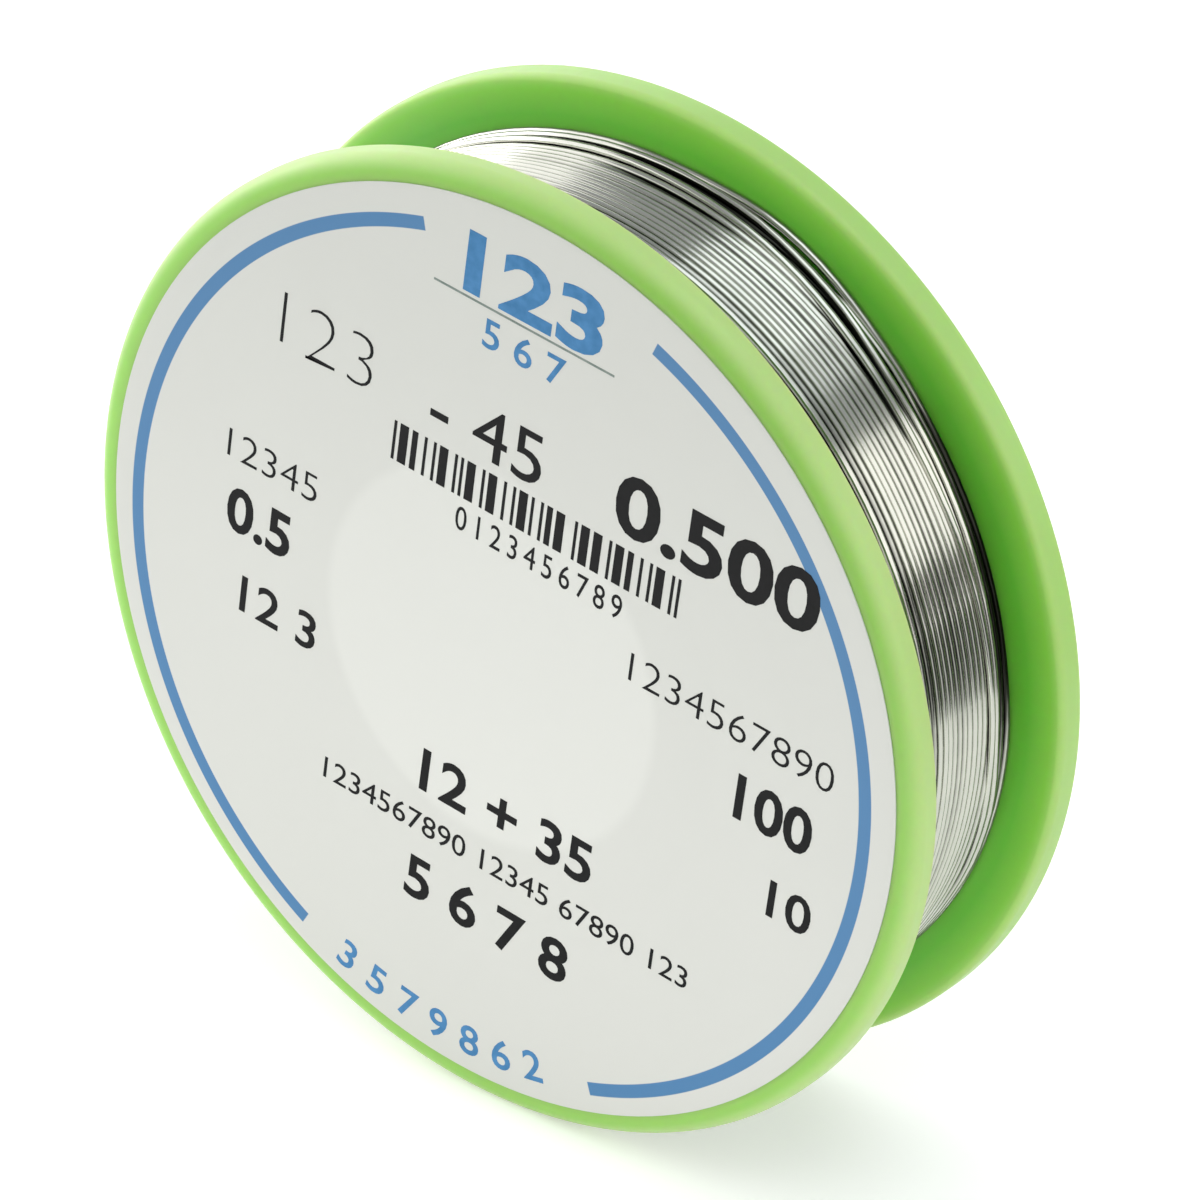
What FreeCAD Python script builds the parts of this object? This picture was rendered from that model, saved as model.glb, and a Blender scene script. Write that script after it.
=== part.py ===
import FreeCAD, Part

import math
import os

import Sketcher

# Small spool of soft-solder wire, standing on the rims of its two flanges.
# Millimetres. The spool's axis lies along Y, the label faces -Y and the floor is Z = 0.
# Every body is drawn with its Y = 0 at the front face of the front flange, and with its axis on Y.
# One placement, the same for all, then lifts the axis to the flange radius and centres the depth.

DRIVING_SIZES = [
    ("flange_diameter", 63.0, "both flanges, over the rim"),
    ("flange_thickness", 2.1, "both flanges"),
    ("rim_round", 0.9, "rounding of a rim on its outer side, as two cones"),
    ("inner_chamfer", 0.25, "edge of a rim on the side of the wire"),
    ("winding_gap", 12.1, "clear width between the flanges"),
    ("barrel_diameter", 37.0, "drum that carries the wire"),
    ("barrel_wall", 1.5, "wall of the drum"),
    ("spigot_diameter", 34.4, "end of the hub that the front flange sits on"),
    ("spigot_chamfer", 0.25, "lead-in at the front of the spigot"),
    ("seam_clearance", 0.04, "radial gap between spigot and front flange"),
    ("front_wall", 1.5, "web that closes the hub behind the label"),
    ("bore_diameter", 25.0, "hole for a spindle"),
    ("bore_wall", 1.5, "wall of the bore tube"),
    ("bore_chamfer", 0.3, "edge of the bore at the rear"),
    ("rib_count", 6, "ribs between the bore tube and the drum"),
    ("rib_thickness", 1.2, "one rib"),
    ("rib_setback", 0.6, "depth of the ribs' ends below the rear face"),
    ("label_diameter", 60.0, "round paper label"),
    ("label_thickness", 0.1, "paper with its adhesive"),
    ("winding_diameter", 56.0, "over the outer layer of wire"),
    ("wire_diameter", 0.5, "solder wire"),
    ("wire_sides", 4, "flat sides that stand for the wire's round section in the outer layer"),
    ("turn_count", 11, "loops of the outer layer, wound apart"),
    ("turn_side_gap", 0.1, "between a flange and the turn beside it"),
    ("layer_clearance", 0.05, "between the outer layer and the layers below"),
    ("core_clearance", 0.05, "between the inner layers and the spool"),
    ("tuck_radius", 0.6, "bend where the wire dips to the layer below"),
    ("tuck_clearance", 0.1, "room round the wire in its dip"),
]

SAME = 1e-4

doc = FreeCAD.newDocument("solder_wire_spool")
sheet = doc.addObject("Spreadsheet::Sheet", "Sizes")
for row, (alias, number, note) in enumerate(DRIVING_SIZES, start=1):
    sheet.set(f"A{row}", alias)
    sheet.set(f"B{row}", str(number))
    sheet.set(f"C{row}", note)
    sheet.setAlias(f"B{row}", alias)
doc.recompute()

# Places along the axis and radii that several pieces share, as formulas on the sheet.
FLANGE_RADIUS = "Sizes.flange_diameter / 2"
BORE_RADIUS = "Sizes.bore_diameter / 2"
BARREL_RADIUS = "Sizes.barrel_diameter / 2"
SPIGOT_RADIUS = "Sizes.spigot_diameter / 2"
GAP_FRONT = "Sizes.flange_thickness"
GAP_REAR = "Sizes.flange_thickness + Sizes.winding_gap"
REAR_FACE = "2 * Sizes.flange_thickness + Sizes.winding_gap"
WIRE_LINE_RADIUS = "(Sizes.winding_diameter - Sizes.wire_diameter) / 2"
CORE_RADIUS = "Sizes.winding_diameter / 2 - Sizes.wire_diameter - Sizes.layer_clearance"
DIP_DEPTH = "Sizes.tuck_radius + Sizes.wire_diameter"
HALF_DIP_WIDTH = "(Sizes.wire_diameter / 2 + Sizes.tuck_clearance)"
HALFWAY_ROUND = "(1 - sqrt(0.5)) * Sizes.rim_round"
FIRST_TURN = f"{GAP_FRONT} + Sizes.turn_side_gap + Sizes.wire_diameter / 2"
LAST_TURN = f"{GAP_REAR} - Sizes.turn_side_gap - Sizes.wire_diameter / 2"
LIFT = FLANGE_RADIUS
CENTRING = f"(Sizes.label_thickness - ({REAR_FACE})) / 2"


def value(formula):
    """The number that a formula on the sheet gives now."""
    return float(sheet.evalExpression(formula))


def stand(piece):
    """Lifts a piece, drawn round the Y axis, to its place over the floor."""
    piece.setExpression("Placement.Base.y", CENTRING)
    piece.setExpression("Placement.Base.z", LIFT)


def new_body(name):
    body = doc.addObject("PartDesign::Body", name)
    body.Label = name
    stand(body)
    return body


def origin_part(body, role):
    return next(part for part in body.Origin.OriginFeatures if part.Role == role)


def new_sketch(body, name, plane="XY_Plane"):
    sketch = body.newObject("Sketcher::SketchObject", name)
    sketch.AttachmentSupport = [(origin_part(body, plane), "")]
    sketch.MapMode = "FlatFace"
    return sketch


def draw_outline(sketch, corners):
    """A closed outline whose corners are held at formulas for their radius and their place on the axis."""
    first = sketch.GeometryCount
    spots = [FreeCAD.Vector(value(across), value(along), 0) for across, along in corners]
    count = len(corners)
    for i in range(count):
        sketch.addGeometry(Part.LineSegment(spots[i], spots[(i + 1) % count]))
    for i in range(count):
        following = first + (i + 1) % count
        sketch.addConstraint(Sketcher.Constraint("Coincident", first + i, 2, following, 1))
    for i, (across, along) in enumerate(corners):
        for kind, formula, spot in (("DistanceX", across, spots[i].x), ("DistanceY", along, spots[i].y)):
            index = sketch.addConstraint(Sketcher.Constraint(kind, -1, 1, first + i, 1, spot))
            sketch.setExpression(f"Constraints[{index}]", formula)


def turned(body, name, corners, kind="PartDesign::Revolution"):
    """A full turn of an outline round the spool's axis, as a solid or as a groove."""
    sketch = new_sketch(body, name + "_profile")
    draw_outline(sketch, corners)
    feature = body.newObject(kind, name)
    feature.Profile = sketch
    feature.ReferenceAxis = (sketch, ["V_Axis"])
    feature.Angle = 360
    doc.recompute()
    return feature


def ring_edges(feature, radius, along):
    """The round edges of a feature with one radius at one place on the axis."""
    found = []
    for number, edge in enumerate(feature.Shape.Edges, start=1):
        curve = edge.Curve
        if not isinstance(curve, Part.Circle):
            continue
        if abs(curve.Radius - value(radius)) < SAME and abs(curve.Center.y - value(along)) < SAME:
            found.append(f"Edge{number}")
    if not found:
        raise RuntimeError(f"{feature.Name} has no round edge of radius {radius} at {along}")
    return found


def chamfered(body, base, name, radius, along, size):
    chamfer = body.newObject("PartDesign::Chamfer", name)
    chamfer.Base = (base, ring_edges(base, radius, along))
    chamfer.setExpression("Size", size)
    doc.recompute()
    return chamfer


def rectangle(near, far, low, high):
    return [(near, low), (far, low), (far, high), (near, high)]


def rim(outer_face, inner_face, inward):
    """The corners of a flange's rim, from its outer face to the face beside the wire."""
    return [
        (f"{FLANGE_RADIUS} - Sizes.rim_round", outer_face),
        (f"{FLANGE_RADIUS} - {HALFWAY_ROUND}", f"{outer_face} {inward} {HALFWAY_ROUND}"),
        (FLANGE_RADIUS, f"{outer_face} {inward} Sizes.rim_round"),
        (FLANGE_RADIUS, f"{inner_face} {'-' if inward == '+' else '+'} Sizes.inner_chamfer"),
        (f"{FLANGE_RADIUS} - Sizes.inner_chamfer", inner_face),
    ]


def make_front_flange():
    """Flat disc with a hole that slides over the hub's spigot."""
    body = new_body("front_flange")
    hole = f"{SPIGOT_RADIUS} + Sizes.seam_clearance"
    turned(body, "front_disc", [(hole, "0")] + rim("0", GAP_FRONT, "+") + [(hole, GAP_FRONT)])
    return body


def make_rear_flange_hub():
    """Rear disc, drum, bore tube and spigot in one moulding, cored from the rear between radial ribs."""
    body = new_body("rear_flange_hub")
    hub = turned(body, "hub_and_rear_disc", [
        (BORE_RADIUS, "0"),
        (SPIGOT_RADIUS, "0"),
        (SPIGOT_RADIUS, GAP_FRONT),
        (BARREL_RADIUS, GAP_FRONT),
        (BARREL_RADIUS, GAP_REAR),
        *reversed(rim(REAR_FACE, GAP_REAR, "-")),
        (BORE_RADIUS, REAR_FACE),
    ])
    mouth = chamfered(body, hub, "bore_mouth", BORE_RADIUS, REAR_FACE, "Sizes.bore_chamfer")
    chamfered(body, mouth, "spigot_lead_in", SPIGOT_RADIUS, "0", "Sizes.spigot_chamfer")

    pocket_near = f"{BORE_RADIUS} + Sizes.bore_wall"
    pocket_far = f"{BARREL_RADIUS} - Sizes.barrel_wall"
    pocket_neck = f"{SPIGOT_RADIUS} - Sizes.barrel_wall"
    pocket_step = f"{GAP_FRONT} + Sizes.barrel_wall"
    volume_before = body.Shape.Volume
    turned(body, "hub_coring", [
        (pocket_near, "Sizes.front_wall"),
        (pocket_neck, "Sizes.front_wall"),
        (pocket_neck, pocket_step),
        (pocket_far, pocket_step),
        (pocket_far, REAR_FACE),
        (pocket_near, REAR_FACE),
    ], kind="PartDesign::Groove")
    if body.Shape.Volume > volume_before - 1:
        raise RuntimeError("the hub's coring cuts nothing")

    # A rib reaches half a wall into the bore tube and into the drum, so that it joins both.
    rib_near = f"{BORE_RADIUS} + Sizes.bore_wall / 2"
    rib_far = f"{BARREL_RADIUS} - Sizes.barrel_wall / 2"
    rib_neck = f"{SPIGOT_RADIUS} - Sizes.barrel_wall / 2"
    rib_foot = "Sizes.front_wall / 2"
    rib_step = f"{GAP_FRONT} + Sizes.barrel_wall / 2"
    rib_end = f"{REAR_FACE} - Sizes.rib_setback"
    sketch = new_sketch(body, "rib_profile")
    draw_outline(sketch, [
        (rib_near, rib_foot),
        (rib_neck, rib_foot),
        (rib_neck, rib_step),
        (rib_far, rib_step),
        (rib_far, rib_end),
        (rib_near, rib_end),
    ])
    rib = body.newObject("PartDesign::Pad", "rib")
    rib.Profile = sketch
    rib.Midplane = True
    rib.setExpression("Length", "Sizes.rib_thickness")
    doc.recompute()
    ribs = body.newObject("PartDesign::PolarPattern", "ribs")
    ribs.Originals = [rib]
    ribs.Axis = (sketch, ["V_Axis"])
    ribs.Angle = 360
    ribs.setExpression("Occurrences", "Sizes.rib_count")
    body.Tip = ribs
    doc.recompute()
    return body


def make_front_label():
    """Round paper label on the front face. It also covers the front end of the bore."""
    body = new_body("front_label")
    sketch = new_sketch(body, "label_outline", "XZ_Plane")
    sketch.addGeometry(Part.Circle(FreeCAD.Vector(0, 0, 0), FreeCAD.Vector(0, 0, 1), value("Sizes.label_diameter / 2")))
    sketch.addConstraint(Sketcher.Constraint("Coincident", 0, 3, -1, 1))
    size = sketch.addConstraint(Sketcher.Constraint("Diameter", 0, value("Sizes.label_diameter")))
    sketch.setExpression(f"Constraints[{size}]", "Sizes.label_diameter")
    pad = body.newObject("PartDesign::Pad", "label_paper")
    pad.Profile = sketch
    pad.setExpression("Length", "Sizes.label_thickness")
    doc.recompute()
    return body


def make_wire_core():
    """The inner layers of wire as one plain ring, with the two dips into which the outer layer's ends go."""
    body = new_body("wire_core")
    near = f"{BARREL_RADIUS} + Sizes.core_clearance"
    low = f"{GAP_FRONT} + Sizes.core_clearance"
    high = f"{GAP_REAR} - Sizes.core_clearance"
    turned(body, "inner_layers", rectangle(near, CORE_RADIUS, low, high))
    volume_before = body.Shape.Volume
    sketch = new_sketch(body, "dip_outlines")
    sketch.setExpression("AttachmentOffset.Base.z", f"{DIP_DEPTH} - {WIRE_LINE_RADIUS}")
    reach = f"Sizes.tuck_radius + {HALF_DIP_WIDTH}"
    for side, turn in (("-1", FIRST_TURN), ("1", LAST_TURN)):
        draw_outline(sketch, rectangle(
            "0", f"{side} * ({reach})", f"{turn} - {HALF_DIP_WIDTH}", f"{turn} + {HALF_DIP_WIDTH}"
        ))
    dips = body.newObject("PartDesign::Pocket", "dips")
    dips.Profile = sketch
    dips.Type = "ThroughAll"
    doc.recompute()
    removed = volume_before - body.Shape.Volume
    if not 0 < removed < volume_before / 100:
        raise RuntimeError("the dips in the inner layers are missing or cut too much")
    return body


def biarc(start, start_way, end, end_way):
    """Two arcs from start to end that leave and arrive in the given directions and meet smoothly."""
    span = end - start
    ways = start_way + end_way
    turning = 2 * (1 - start_way.dot(end_way))
    along = span.dot(ways)
    reach = (-along + math.sqrt(along ** 2 + turning * span.dot(span))) / turning
    middle = (start + end + (start_way - end_way) * reach) * 0.5
    return [arc_from(start, start_way, middle), arc_from(end, end_way * -1, middle, backwards=True)]


def arc_from(start, way, end, backwards=False):
    """The arc that leaves start in the direction way and ends at end."""
    chord = end - start
    across = (chord - way * chord.dot(way)).normalize()
    radius = chord.dot(chord) / (2 * chord.dot(across))
    centre = start + across * radius
    halfway = ((start + end) * 0.5 - centre).normalize() * radius
    if chord.dot(way) < 0:
        halfway = halfway * -1
    if backwards:
        start, end = end, start
    return Part.Arc(start, centre + halfway, end)


def on_helix(radius, first, pitch, turn):
    """Place, direction of travel and outward direction of the wire after a number of turns from the floor side."""
    angle = 2 * math.pi * turn - math.pi / 2
    outward = FreeCAD.Vector(math.cos(angle), 0, math.sin(angle))
    place = outward * radius + FreeCAD.Vector(0, first + pitch * turn, 0)
    way = FreeCAD.Vector(-math.sin(angle), pitch / (2 * math.pi * radius), math.cos(angle)).normalize()
    return place, way, outward


def make_wire_outer_turns():
    """The outer layer as one tube: out of its dip, round the drum and down into the other dip."""
    wire = value("Sizes.wire_diameter")
    radius = value(WIRE_LINE_RADIUS)
    first = value(FIRST_TURN)
    loops = int(value("Sizes.turn_count"))
    pitch = (value(LAST_TURN) - first) / loops
    bend = value("Sizes.tuck_radius")
    quarters = 4 * loops

    start, start_way, start_out = on_helix(radius, first, pitch, 0)
    end, end_way, end_out = on_helix(radius, first, pitch, loops)
    rise = start - (start_out + start_way) * bend
    drop = end - (end_out - end_way) * bend
    foot = rise - start_out * wire
    tip = drop - end_out * wire

    curves = [Part.LineSegment(foot, rise), arc_from(rise, start_out, start)]
    for quarter in range(quarters):
        here, here_way, _ = on_helix(radius, first, pitch, quarter / 4)
        there, there_way, _ = on_helix(radius, first, pitch, (quarter + 1) / 4)
        curves += biarc(here, here_way, there, there_way)
    curves += [arc_from(end, end_way, drop), Part.LineSegment(drop, tip)]
    path = Part.Wire([curve.toShape() for curve in curves])
    section = wire_section(foot, start_way, wire / 2, int(value("Sizes.wire_sides")))
    tube = path.makePipeShell([section], True, False)
    if tube.Volume < 0:
        tube.reverse()

    section_times_length = Part.Face(section).Area * path.Length
    print(f"outer layer: {loops} loops, {path.Length:.0f} mm of wire, tightest bend {bend:.2f} mm")
    print(f"tube volume over section times length: {tube.Volume / section_times_length:.4f}")
    print(f"least gap of the tube to itself: {least_gap(path, wire, 2 * math.pi * radius):.3f} mm")

    piece = doc.addObject("Part::Feature", "wire_outer_turns")
    piece.Label = "wire_outer_turns"
    piece.Shape = tube
    piece.Placement = FreeCAD.Placement(FreeCAD.Vector(0, value(CENTRING), value(LIFT)), FreeCAD.Rotation())
    return piece


def wire_section(centre, across, radius, sides):
    """The wire's section as a regular polygon with its corners on the wire's circle."""
    along = FreeCAD.Vector(0, 1, 0)
    along = (along - across * along.dot(across)).normalize()
    corners = [
        centre + (across * math.cos(angle) + along * math.sin(angle)) * radius
        for angle in (2 * math.pi * corner / sides for corner in range(sides))
    ]
    return Part.makePolygon(corners + corners[:1])


def least_gap(path, wire, round_length):
    """The least distance from points of the path to the stretches half a round to one and a half rounds on."""
    steps_a_round = 120
    count = int(path.Length / round_length * steps_a_round)
    points = path.discretize(Number=count)
    half_round = steps_a_round // 2
    nearest = min(
        to_stretch(points[i], points[j], points[j + 1])
        for i in range(count)
        for j in range(i + half_round, min(i + 3 * half_round, count - 1))
    )
    return nearest - wire


def to_stretch(point, start, end):
    """The distance from a point to the straight stretch between two others."""
    span = end - start
    share = min(1, max(0, (point - start).dot(span) / span.dot(span)))
    return point.distanceToPoint(start + span * share)


def check_and_write(pieces):
    doc.recompute()
    for thing in doc.Objects:
        if "Invalid" in thing.State or "Error" in thing.State:
            raise RuntimeError(f"{thing.Name} did not compute: {thing.State}")
    for piece in pieces:
        shape = piece.Shape
        if shape.isNull() or not shape.isValid() or not shape.Solids:
            raise RuntimeError(f"{piece.Label} has no sound solid")
    os.makedirs("parts", exist_ok=True)
    for piece in pieces:
        piece.Shape.exportStep(os.path.join("parts", piece.Label + ".step"))
        box = piece.Shape.optimalBoundingBox(False)
        print(
            f"{piece.Label}: {len(piece.Shape.Solids)} solid, {piece.Shape.Volume:.1f} mm3, "
            f"Y {box.YMin:.2f} to {box.YMax:.2f}, Z {box.ZMin:.2f} to {box.ZMax:.2f}"
        )


check_and_write([
    make_front_flange(),
    make_rear_flange_hub(),
    make_front_label(),
    make_wire_core(),
    make_wire_outer_turns(),
])
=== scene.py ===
import math

import bmesh
import bpy
from mathutils import Matrix, Vector


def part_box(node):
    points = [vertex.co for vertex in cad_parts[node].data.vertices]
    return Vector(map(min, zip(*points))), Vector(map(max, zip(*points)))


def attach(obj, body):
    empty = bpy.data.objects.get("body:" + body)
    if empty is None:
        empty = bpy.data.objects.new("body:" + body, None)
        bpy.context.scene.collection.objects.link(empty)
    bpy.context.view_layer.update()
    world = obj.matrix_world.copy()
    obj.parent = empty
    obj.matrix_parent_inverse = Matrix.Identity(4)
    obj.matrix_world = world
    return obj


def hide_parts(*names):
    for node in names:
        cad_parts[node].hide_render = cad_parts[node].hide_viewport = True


# A small spool of solder wire, standing on the rims of its two flanges. Metres, in the CAD's frame:
# the axis lies along Y, the label faces -Y and the floor is Z = 0. Right is +X, the right-hand side of
# someone who looks at the label.

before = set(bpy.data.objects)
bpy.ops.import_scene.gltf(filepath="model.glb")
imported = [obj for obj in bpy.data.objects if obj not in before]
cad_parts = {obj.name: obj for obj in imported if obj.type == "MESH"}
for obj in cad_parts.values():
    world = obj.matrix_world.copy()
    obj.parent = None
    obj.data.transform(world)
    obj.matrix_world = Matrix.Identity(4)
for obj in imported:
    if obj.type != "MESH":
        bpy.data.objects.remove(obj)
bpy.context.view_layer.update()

MM = 0.001
# Two places closer than this are the same.
SAME = 0.0001 * MM

# Sizes that the CAD nodes give. The label is drawn a trace smaller than the CAD's.
LABEL_TRIM = 0.06 * MM
flange_low, flange_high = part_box("front_flange")
hub_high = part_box("rear_flange_hub")[1]
label_low, label_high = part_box("front_label")
turns_low, turns_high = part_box("wire_outer_turns")
AXIS_HEIGHT = (flange_low.z + flange_high.z) / 2
FLANGE_RADIUS = (flange_high.z - flange_low.z) / 2
FRONT_FACE = flange_low.y
GAP_FRONT = flange_high.y
REAR_FACE = hub_high.y
GAP_REAR = REAR_FACE - (GAP_FRONT - FRONT_FACE)
LABEL_FACE = label_low.y
LABEL_RADIUS = (label_high.z - label_low.z) / 2 - LABEL_TRIM
WINDING_RADIUS = (turns_high.z - turns_low.z) / 2

# Sizes of the moulding and of the wire, as in the CAD's sheet.
BARREL_RADIUS = 18.5 * MM
SPIGOT_RADIUS = 17.2 * MM
HOLE_RADIUS = 17.24 * MM
BORE_RADIUS = 12.5 * MM
WALL = 1.5 * MM
RIB_COUNT = 6
RIB_THICKNESS = 1.2 * MM
RIB_SETBACK = 0.6 * MM
WIRE_RADIUS = 0.25 * MM
WIRE_CLEARANCE = 0.05 * MM

# Roundings. The front rim is a quarter of an oval, across the flange's face and along the axis.
RIM_ACROSS = 1.5 * MM
RIM_ALONG = 1.2 * MM
FRONT_INNER_ROUND = 0.12 * MM
REAR_INNER_ROUND = 0.45 * MM
REAR_RIM_ROUND = 0.55 * MM
SEAM_ROUND = 0.1 * MM
BORE_FRONT_ROUND = 0.15 * MM
STEP_ROUND = 0.2 * MM
RIB_ROUND = 0.25 * MM
POCKET_ROUND = 0.3 * MM
MOUTH_ROUND = 0.35 * MM

# The label is stuck on a little off centre, and its ring is printed a little off centre too, as (X, Z).
LABEL_SHIFT = (0.22 * MM, 0.12 * MM)
RING_SHIFT = (0.04 * MM, -0.29 * MM)
RING_INSIDE = 27.5 * MM
RING_OUTSIDE = 28.4 * MM
# The ring's two gaps, in degrees from +X towards +Z.
RING_TOP_GAP = (63.6, 99.6)
RING_BOTTOM_GAP = (-122.4, -74.4)

# How finely the round forms are divided.
LATHE_STEPS = 240
CORNER_STEPS = 8
RIM_STEPS = 16
LABEL_STEPS = 180
LABEL_RINGS = 120
CORE_STEPS = 180
RIDGE_STEPS = 6
WIRE_SIDES = 12
WIRE_STEPS = 120


# ---- shader helpers ----

# The colour sockets of a Mix node share their names with others, so they are taken by number.
MIX_SHARE, MIX_FIRST, MIX_SECOND, MIX_RESULT = 0, 6, 7, 2


def colour(red, green, blue):
    """A colour given as it shows on a screen, 0 to 255, as the linear colour that a socket takes."""
    channels = []
    for part in (red, green, blue):
        part = part / 255
        channels.append(part / 12.92 if part <= 0.04045 else ((part + 0.055) / 1.055) ** 2.4)
    return (*channels, 1)


def plug(tree, socket, given):
    """Links an output to a socket, or sets the socket to a value."""
    if isinstance(given, bpy.types.NodeSocket):
        tree.links.new(given, socket)
    else:
        socket.default_value = given


def add_node(tree, kind, inputs=None, **settings):
    """A node with its settings, and with its inputs set to values or linked to outputs."""
    node = tree.nodes.new("ShaderNode" + kind)
    for name, setting in settings.items():
        setattr(node, name, setting)
    for name, given in (inputs or {}).items():
        plug(tree, node.inputs[name], given)
    return node


def maths(tree, operation, *values, clamp=False):
    """One step of arithmetic on values and outputs."""
    node = add_node(tree, "Math", operation=operation, use_clamp=clamp)
    for socket, given in zip(node.inputs, values):
        plug(tree, socket, given)
    return node.outputs["Value"]


def distance(tree, across, along):
    """How far a point of a plane lies from the plane's origin."""
    squares = [maths(tree, "POWER", part, 2.0) for part in (across, along)]
    return maths(tree, "SQRT", maths(tree, "ADD", *squares))


def ramp(tree, value, start, end, low=0.0, high=1.0, smooth=True):
    """The value, spread from start..end to low..high and held there."""
    node = add_node(
        tree, "MapRange", interpolation_type="SMOOTHSTEP" if smooth else "LINEAR",
        inputs={"Value": value, "From Min": start, "From Max": end, "To Min": low, "To Max": high},
    )
    return node.outputs["Result"]


def waver(tree, mask, low, high):
    """A value that follows a mask evenly from low to high."""
    return ramp(tree, mask, 0.0, 1.0, low, high, smooth=False)


def band(tree, value, start, end, edge):
    """1 between start and end, with a soft edge of the given width."""
    rise = ramp(tree, value, start - edge, start + edge)
    fall = ramp(tree, value, end - edge, end + edge, 1.0, 0.0)
    return maths(tree, "MULTIPLY", rise, fall)


def mix_colours(tree, share, first, second):
    """The first colour where the share is 0, going over to the second where it is 1."""
    node = add_node(tree, "Mix", data_type="RGBA", inputs={
        MIX_SHARE: share, MIX_FIRST: first, MIX_SECOND: second,
    })
    return node.outputs[MIX_RESULT]


def mix_shades(tree, share, first, second):
    """The same for two colours given as they show on a screen."""
    return mix_colours(tree, share, colour(*first), colour(*second))


def object_spot(tree):
    """The point's own coordinates, which are the frame's, because no piece is moved."""
    return add_node(tree, "TexCoord").outputs["Object"]


def split(tree, vector):
    """A vector's X, Y and Z."""
    return add_node(tree, "SeparateXYZ", inputs={"Vector": vector}).outputs


def noise(tree, vector, scale, detail):
    node = add_node(tree, "TexNoise", inputs={"Vector": vector, "Scale": scale, "Detail": detail})
    return node.outputs["Fac"]


def new_group(name, inputs, outputs):
    """A node group with float inputs, each with its default, and outputs of the given socket types."""
    tree = bpy.data.node_groups.new(name, "ShaderNodeTree")
    for title, default in inputs.items():
        socket = tree.interface.new_socket(title, in_out="INPUT", socket_type="NodeSocketFloat")
        socket.default_value = default
    for title, kind in outputs.items():
        tree.interface.new_socket(title, in_out="OUTPUT", socket_type=kind)
    given = tree.nodes.new("NodeGroupInput")
    made = tree.nodes.new("NodeGroupOutput")
    return tree, given.outputs, made.inputs


def place_group(tree, group, **inputs):
    """Puts a node group in a tree, with some of its inputs set, and gives its outputs."""
    node = tree.nodes.new("ShaderNodeGroup")
    node.node_tree = group
    for name, given in inputs.items():
        plug(tree, node.inputs[name.replace("_", " ").capitalize()], given)
    return node.outputs


def make_spool_place_group():
    """Where a point lies on the spool: its radius, its angle in turns and its depth along the axis."""
    tree, given, made = new_group("spool place", {"Shift x": 0.0, "Shift z": 0.0}, {
        "Radius": "NodeSocketFloat", "Turn": "NodeSocketFloat", "Depth": "NodeSocketFloat",
    })
    spot = split(tree, object_spot(tree))
    across = maths(tree, "SUBTRACT", spot["X"], given["Shift x"])
    height = maths(tree, "SUBTRACT", maths(tree, "SUBTRACT", spot["Z"], AXIS_HEIGHT), given["Shift z"])
    turn = maths(tree, "DIVIDE", maths(tree, "ARCTAN2", height, across), 2 * math.pi)
    plug(tree, made["Radius"], distance(tree, across, height))
    plug(tree, made["Turn"], turn)
    plug(tree, made["Depth"], spot["Y"])
    return tree


def make_mottle_group():
    """Soft uneven patches, from 0 to 1, with a size in metres."""
    tree, given, made = new_group("mottle", {"Size": 4 * MM, "Detail": 3.0, "Contrast": 1.0}, {
        "Mask": "NodeSocketFloat",
    })
    scale = maths(tree, "DIVIDE", 1.0, given["Size"])
    cloud = noise(tree, object_spot(tree), scale, given["Detail"])
    spread = maths(tree, "MULTIPLY", maths(tree, "SUBTRACT", cloud, 0.5), given["Contrast"])
    plug(tree, made["Mask"], maths(tree, "ADD", spread, 0.5, clamp=True))
    return tree


MARKS_A_TURN = 30.0


def make_fine_skin_group():
    """A fine skin as a normal: small grain, and scratches or drawing marks that run round the spool."""
    tree, given, made = new_group("fine skin", {
        "Grain size": 0.3 * MM, "Grain height": 0.001 * MM, "Mark height": 0.001 * MM,
        "Marks per metre": 4000.0,
    }, {"Normal": "NodeSocketVector"})
    grain = noise(tree, object_spot(tree), maths(tree, "DIVIDE", 1.0, given["Grain size"]), 2.0)
    place = place_group(tree, spool_place)
    round_spot = add_node(tree, "CombineXYZ", inputs={
        "X": maths(tree, "MULTIPLY", place["Radius"], given["Marks per metre"]),
        "Y": maths(tree, "MULTIPLY", place["Depth"], given["Marks per metre"]),
        "Z": maths(tree, "MULTIPLY", place["Turn"], MARKS_A_TURN),
    }).outputs["Vector"]
    marks = noise(tree, round_spot, 1.0, 2.0)
    height = maths(
        tree, "ADD", maths(tree, "MULTIPLY", grain, given["Grain height"]),
        maths(tree, "MULTIPLY", marks, given["Mark height"]),
    )
    bump = add_node(tree, "Bump", inputs={"Height": height, "Distance": 1.0, "Strength": 1.0})
    plug(tree, made["Normal"], bump.outputs["Normal"])
    return tree


spool_place = make_spool_place_group()
mottle = make_mottle_group()
fine_skin = make_fine_skin_group()


def add_patches(tree, size, detail, contrast):
    return place_group(tree, mottle, size=size, detail=detail, contrast=contrast)["Mask"]


def add_skin(tree, **heights):
    return place_group(tree, fine_skin, **heights)["Normal"]


def new_material(name):
    """A material, its tree and its shader."""
    material = bpy.data.materials.new(name)
    material.use_nodes = True
    tree = material.node_tree
    return material, tree, tree.nodes["Principled BSDF"]


def feed(tree, shader, **inputs):
    """Sets a shader's sockets, named with underlines for spaces."""
    for name, given in inputs.items():
        plug(tree, shader.inputs[name.replace("_", " ")], given)


# ---- materials ----

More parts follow.
